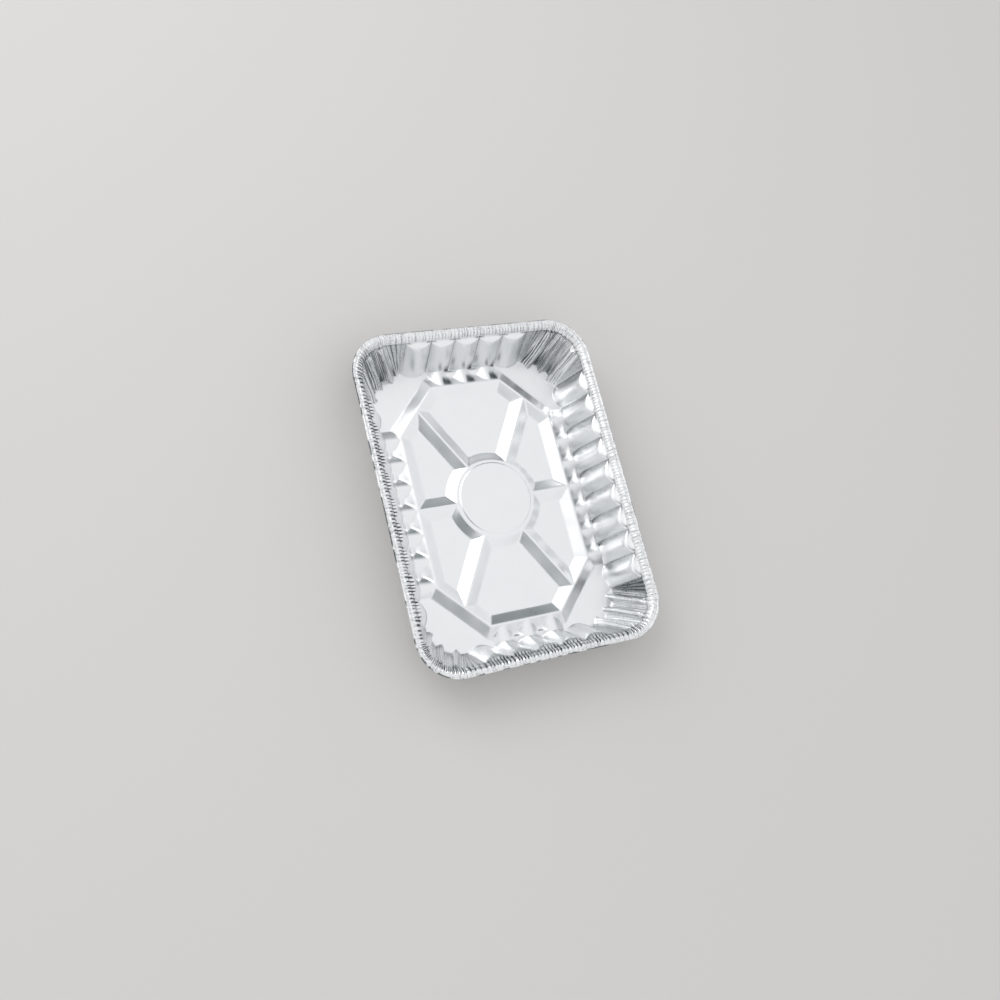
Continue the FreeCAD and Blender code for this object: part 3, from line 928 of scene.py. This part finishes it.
def foil_material():
    """Bright foil: faint rolling lines, dull patches and, where it is worked, fine crinkles.

    Two slits open in each crimp, where its phase is near 0 or half a turn; the bump sinks them
    and painted shade darkens them. Painted shade of creases and slits, with the flecks of worked
    foil, darkens the foil toward the colour of the painted shade in creases.
    """
    look = bpy.context.scene.foil_finish
    found = bpy.data.materials.get("pressed_foil")
    if found:
        return found
    material = bpy.data.materials.new("pressed_foil")
    tree = NodeTree(material)
    place = tree.add("ShaderNodeTexCoord", {}, {}, "Object")
    worked = tree.attribute("worked", "Fac")
    crease_shade = tree.attribute("crease_shade", "Fac")
    rolled = tree.noise(tree.stretched(place, (1.0, 0.03, 1.0)), 900.0, 3.0, 0.6)
    dull = tree.noise(place, 42.0, 4.0, 0.55)
    grain = tree.noise(place, 700.0, 3.0, 0.6)
    upward = tree.stretched(tree.attribute("run", "Vector"), (1.0, 1.0, 0.12))
    wrinkles = tree.noise(upward, 520.0, 3.0, 0.62)
    cells = tree.add(
        "ShaderNodeTexVoronoi", {"feature": "F1"},
        {"Vector": place, "Scale": 330.0, "Randomness": 1.0}, "Distance",
    )
    phase = tree.attribute("crimps", "Vector")
    cosine, sine, shown = (
        tree.add("ShaderNodeSeparateXYZ", {}, [phase], part) for part in range(3)
    )
    turned = abs(cosine.math("ARCTAN2", sine, cosine))
    turned = abs(turned * (2 / math.pi) - 1.0)
    # the slits sink the bump and are darkened with painted shade
    slit_shade = tree.smooth(turned + (wrinkles - 0.5) * 1.1, 0.52, 0.78) * shown
    height = (cells * 0.30 + grain * 0.35 + wrinkles * 0.9) * worked + rolled * 0.02 - slit_shade * 1.2
    bump = tree.add(
        "ShaderNodeBump", {},
        {"Height": height, "Strength": 1.0, "Distance": look.crinkle}, "Normal",
    )
    fleck = tree.smooth(wrinkles * 0.4 + grain * 0.6, 0.50, 0.60)
    # painted shade of creases and slits, added to the flecks of worked foil
    painted_shade_and_fleck = crease_shade * (fleck * 0.35 + 0.95) + fleck * worked * 0.4 + slit_shade * 1.3
    painted_shade_and_fleck = painted_shade_and_fleck.math("MINIMUM", painted_shade_and_fleck, 1.0)
    plain = tree.mixed(dull * 0.6, look.colour, look.shade)
    roughness = look.roughness - 0.11 + dull * 0.1 + rolled * 0.05 + worked * 0.06
    shader = tree.add(
        "ShaderNodeBsdfPrincipled", {},
        {
            "Base Color": tree.mixed(painted_shade_and_fleck, plain, look.crease_shade),
            "Metallic": 1.0,
            "Roughness": roughness,
            "Normal": bump,
        },
        "BSDF",
    )
    tree.add("ShaderNodeOutputMaterial", {}, {"Surface": shader})
    return material


def paper_material(colour):
    """Matt paper of the studio's floor."""
    material = bpy.data.materials.new("studio_paper")
    tree = NodeTree(material)
    shader = tree.add(
        "ShaderNodeBsdfPrincipled", {},
        {"Base Color": (*colour, 1.0), "Roughness": 0.9, "Specular IOR Level": 0.1}, "BSDF",
    )
    tree.add("ShaderNodeOutputMaterial", {}, {"Surface": shader})
    return material


# Pieces


def sheet_part(name, first, end, pole=False):
    """Piece made of the sheet's rows from first up to end, which is left out."""
    sizes = bpy.context.scene.pan_sizes
    grid = {label: layer[first:end] for label, layer in Sheet(sizes).layers().items()}
    piece = shell_piece(name, grid, sizes.foil / MM, pole)
    piece.data.materials.append(foil_material())
    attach(piece, "root")
    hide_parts(NODE)
    return piece


class PAN_OT_floor(bpy.types.Operator):
    """Make the floor of the pan: disc, hub, spokes and panels inside the ring"""

    bl_idname = "pan.floor"
    bl_label = "Pan floor"

    def execute(self, context):
        sheet_part("pan_floor", 0, FLOOR_ROWS, pole=True)
        return {"FINISHED"}


class PAN_OT_wall(bpy.types.Operator):
    """Make the ring's outer slope, the pockets and the fluted wall with its corner folds"""

    bl_idname = "pan.wall"
    bl_label = "Pan wall"

    def execute(self, context):
        sheet_part("pan_wall", FLOOR_ROWS - 1, WALL_TOP + 1)
        return {"FINISHED"}


class PAN_OT_rim(bpy.types.Operator):
    """Make the crimped shoulder, the flange and its rolled edge"""

    bl_idname = "pan.rim"
    bl_label = "Pan rim"

    def execute(self, context):
        sheet_part("pan_rim", WALL_TOP, ALL_ROWS)
        return {"FINISHED"}


# Studio

FLOOR_HALF = 6.0
LAMP_PLACE = (-0.84, 1.15, 1.28)
LAMP_SIZE = 1.2
LAMP_WATTS = 9

# Camera: its axes, and its place from the middle of the rim in lengths of the pan
CAMERA_RIGHT = (0.914, -0.245, 0.323)
CAMERA_FORWARD = (0.376, 0.2145, -0.901)
CAMERA_PLACE = (-1.0855, -0.6344, 2.512)

# Soft spots of the world: azimuth, elevation, and the angles at which one starts and ends to fade
GAP_SPOTS = ((68.0, 11.0, 14.0, 28.0), (-162.0, 46.5, 8.0, 17.0), (-137.0, 46.5, 8.0, 14.0))
WINDOW_SPOTS = ((152.0, 20.0, 14.0, 32.0), (-162.0, 16.0, 20.0, 34.0))


def soft_spots(tree, way, spots):
    """Greatest of some spots, each 1 within an angle of its direction and 0 past a wider one."""
    total = None
    for azimuth, elevation, inner, outer in spots:
        a, e = math.radians(azimuth), math.radians(elevation)
        aim = (math.cos(a) * math.cos(e), math.sin(a) * math.cos(e), math.sin(e))
        unit = tree.add("ShaderNodeVectorMath", {"operation": "NORMALIZE"}, [way])
        dot = tree.add("ShaderNodeVectorMath", {"operation": "DOT_PRODUCT"}, [unit, aim], "Value")
        spot = tree.smooth(dot, math.cos(math.radians(outer)), math.cos(math.radians(inner)))
        total = spot if total is None else total.math("MAXIMUM", total, spot)
    return total


def studio_floor(look):
    """Plain level floor under the pan."""
    mesh = bpy.data.meshes.new("studio_floor")
    corners = [(x * FLOOR_HALF, y * FLOOR_HALF, 0) for x, y in ((-1, -1), (1, -1), (1, 1), (-1, 1))]
    mesh.from_pydata(corners, [], [(0, 1, 2, 3)])
    mesh.materials.append(paper_material(look.floor))
    floor = bpy.data.objects.new("studio_floor", mesh)
    bpy.context.scene.collection.objects.link(floor)


def studio_world(look):
    """White light from all round, with a brighter window and dark gaps between the walls."""
    world = bpy.data.worlds.new("studio_world")
    tree = NodeTree(world)
    way = tree.add("ShaderNodeTexCoord", {}, {}, "Generated")
    gaps = soft_spots(tree, way, GAP_SPOTS)
    bright = soft_spots(tree, way, WINDOW_SPOTS)
    sky = tree.mixed(gaps, tree.mixed(bright, look.sky, look.window), look.gap)
    back = tree.add("ShaderNodeBackground", {}, {"Color": sky, "Strength": 1.0})
    tree.add("ShaderNodeOutputWorld", {}, {"Surface": back})
    bpy.context.scene.world = world


def studio_lamp(look):
    """Square soft lamp on the left, turned to the pan."""
    light = bpy.data.lights.new("lamp_left", "AREA")
    light.shape = "RECTANGLE"
    light.size = light.size_y = LAMP_SIZE
    light.energy = LAMP_WATTS * look.power
    lamp = bpy.data.objects.new("lamp_left", light)
    lamp.location = LAMP_PLACE
    lamp.rotation_euler = (-Vector(LAMP_PLACE)).to_track_quat("-Z", "Y").to_euler()
    bpy.context.scene.collection.objects.link(lamp)


def studio_camera(look, sizes):
    """Camera that looks down on the pan at the photograph's angle."""
    data = bpy.data.cameras.new("camera")
    data.lens = look.lens
    data.sensor_width = 36.0
    data.clip_start = 0.01
    data.clip_end = 50.0
    camera = bpy.data.objects.new("camera", data)
    forward = Vector(CAMERA_FORWARD).normalized()
    up = Vector(CAMERA_RIGHT).normalized().cross(forward).normalized()
    right = forward.cross(up).normalized()
    turned = Matrix((right, up, -forward)).transposed()
    place = Vector(CAMERA_PLACE) * sizes.length + Vector((0, 0, sizes.height))
    camera.matrix_world = Matrix.Translation(place) @ turned.to_4x4()
    bpy.context.scene.collection.objects.link(camera)
    bpy.context.scene.camera = camera


class PAN_OT_studio(bpy.types.Operator):
    """Make the pale floor, the soft light and the camera"""

    bl_idname = "pan.studio"
    bl_label = "Studio"

    def execute(self, context):
        look = context.scene.studio_look
        studio_floor(look)
        studio_world(look)
        studio_lamp(look)
        studio_camera(look, context.scene.pan_sizes)
        context.scene.view_settings.view_transform = "Standard"
        return {"FINISHED"}


class PAN_PT_panel(bpy.types.Panel):
    """Sidebar panel that lists the pan's pieces"""

    bl_idname = "PAN_PT_panel"
    bl_label = "Foil Roasting Pan"
    bl_space_type = "VIEW_3D"
    bl_region_type = "UI"
    bl_category = "Pan"

    def draw(self, context):
        column = self.layout.column()
        for made in (PAN_OT_floor, PAN_OT_wall, PAN_OT_rim, PAN_OT_studio):
            column.operator(made.bl_idname)
        for name, group in GROUPS:
            for label in group.__annotations__:
                column.prop(getattr(context.scene, name), label)


GROUPS = (("pan_sizes", PanSizes), ("foil_finish", FoilFinish), ("studio_look", StudioLook))
CLASSES = (
    PanSizes,
    FoilFinish,
    StudioLook,
    PAN_OT_floor,
    PAN_OT_wall,
    PAN_OT_rim,
    PAN_OT_studio,
    PAN_PT_panel,
)


def register():
    for made in CLASSES:
        bpy.utils.register_class(made)
    for name, group in GROUPS:
        setattr(bpy.types.Scene, name, PointerProperty(type=group))


def unregister():
    for name, group in GROUPS:
        delattr(bpy.types.Scene, name)
    for made in reversed(CLASSES):
        bpy.utils.unregister_class(made)


def main():
    register()
    bpy.ops.pan.floor()
    bpy.ops.pan.wall()
    bpy.ops.pan.rim()
    bpy.ops.pan.studio()


if __name__ == "__main__":
    main()
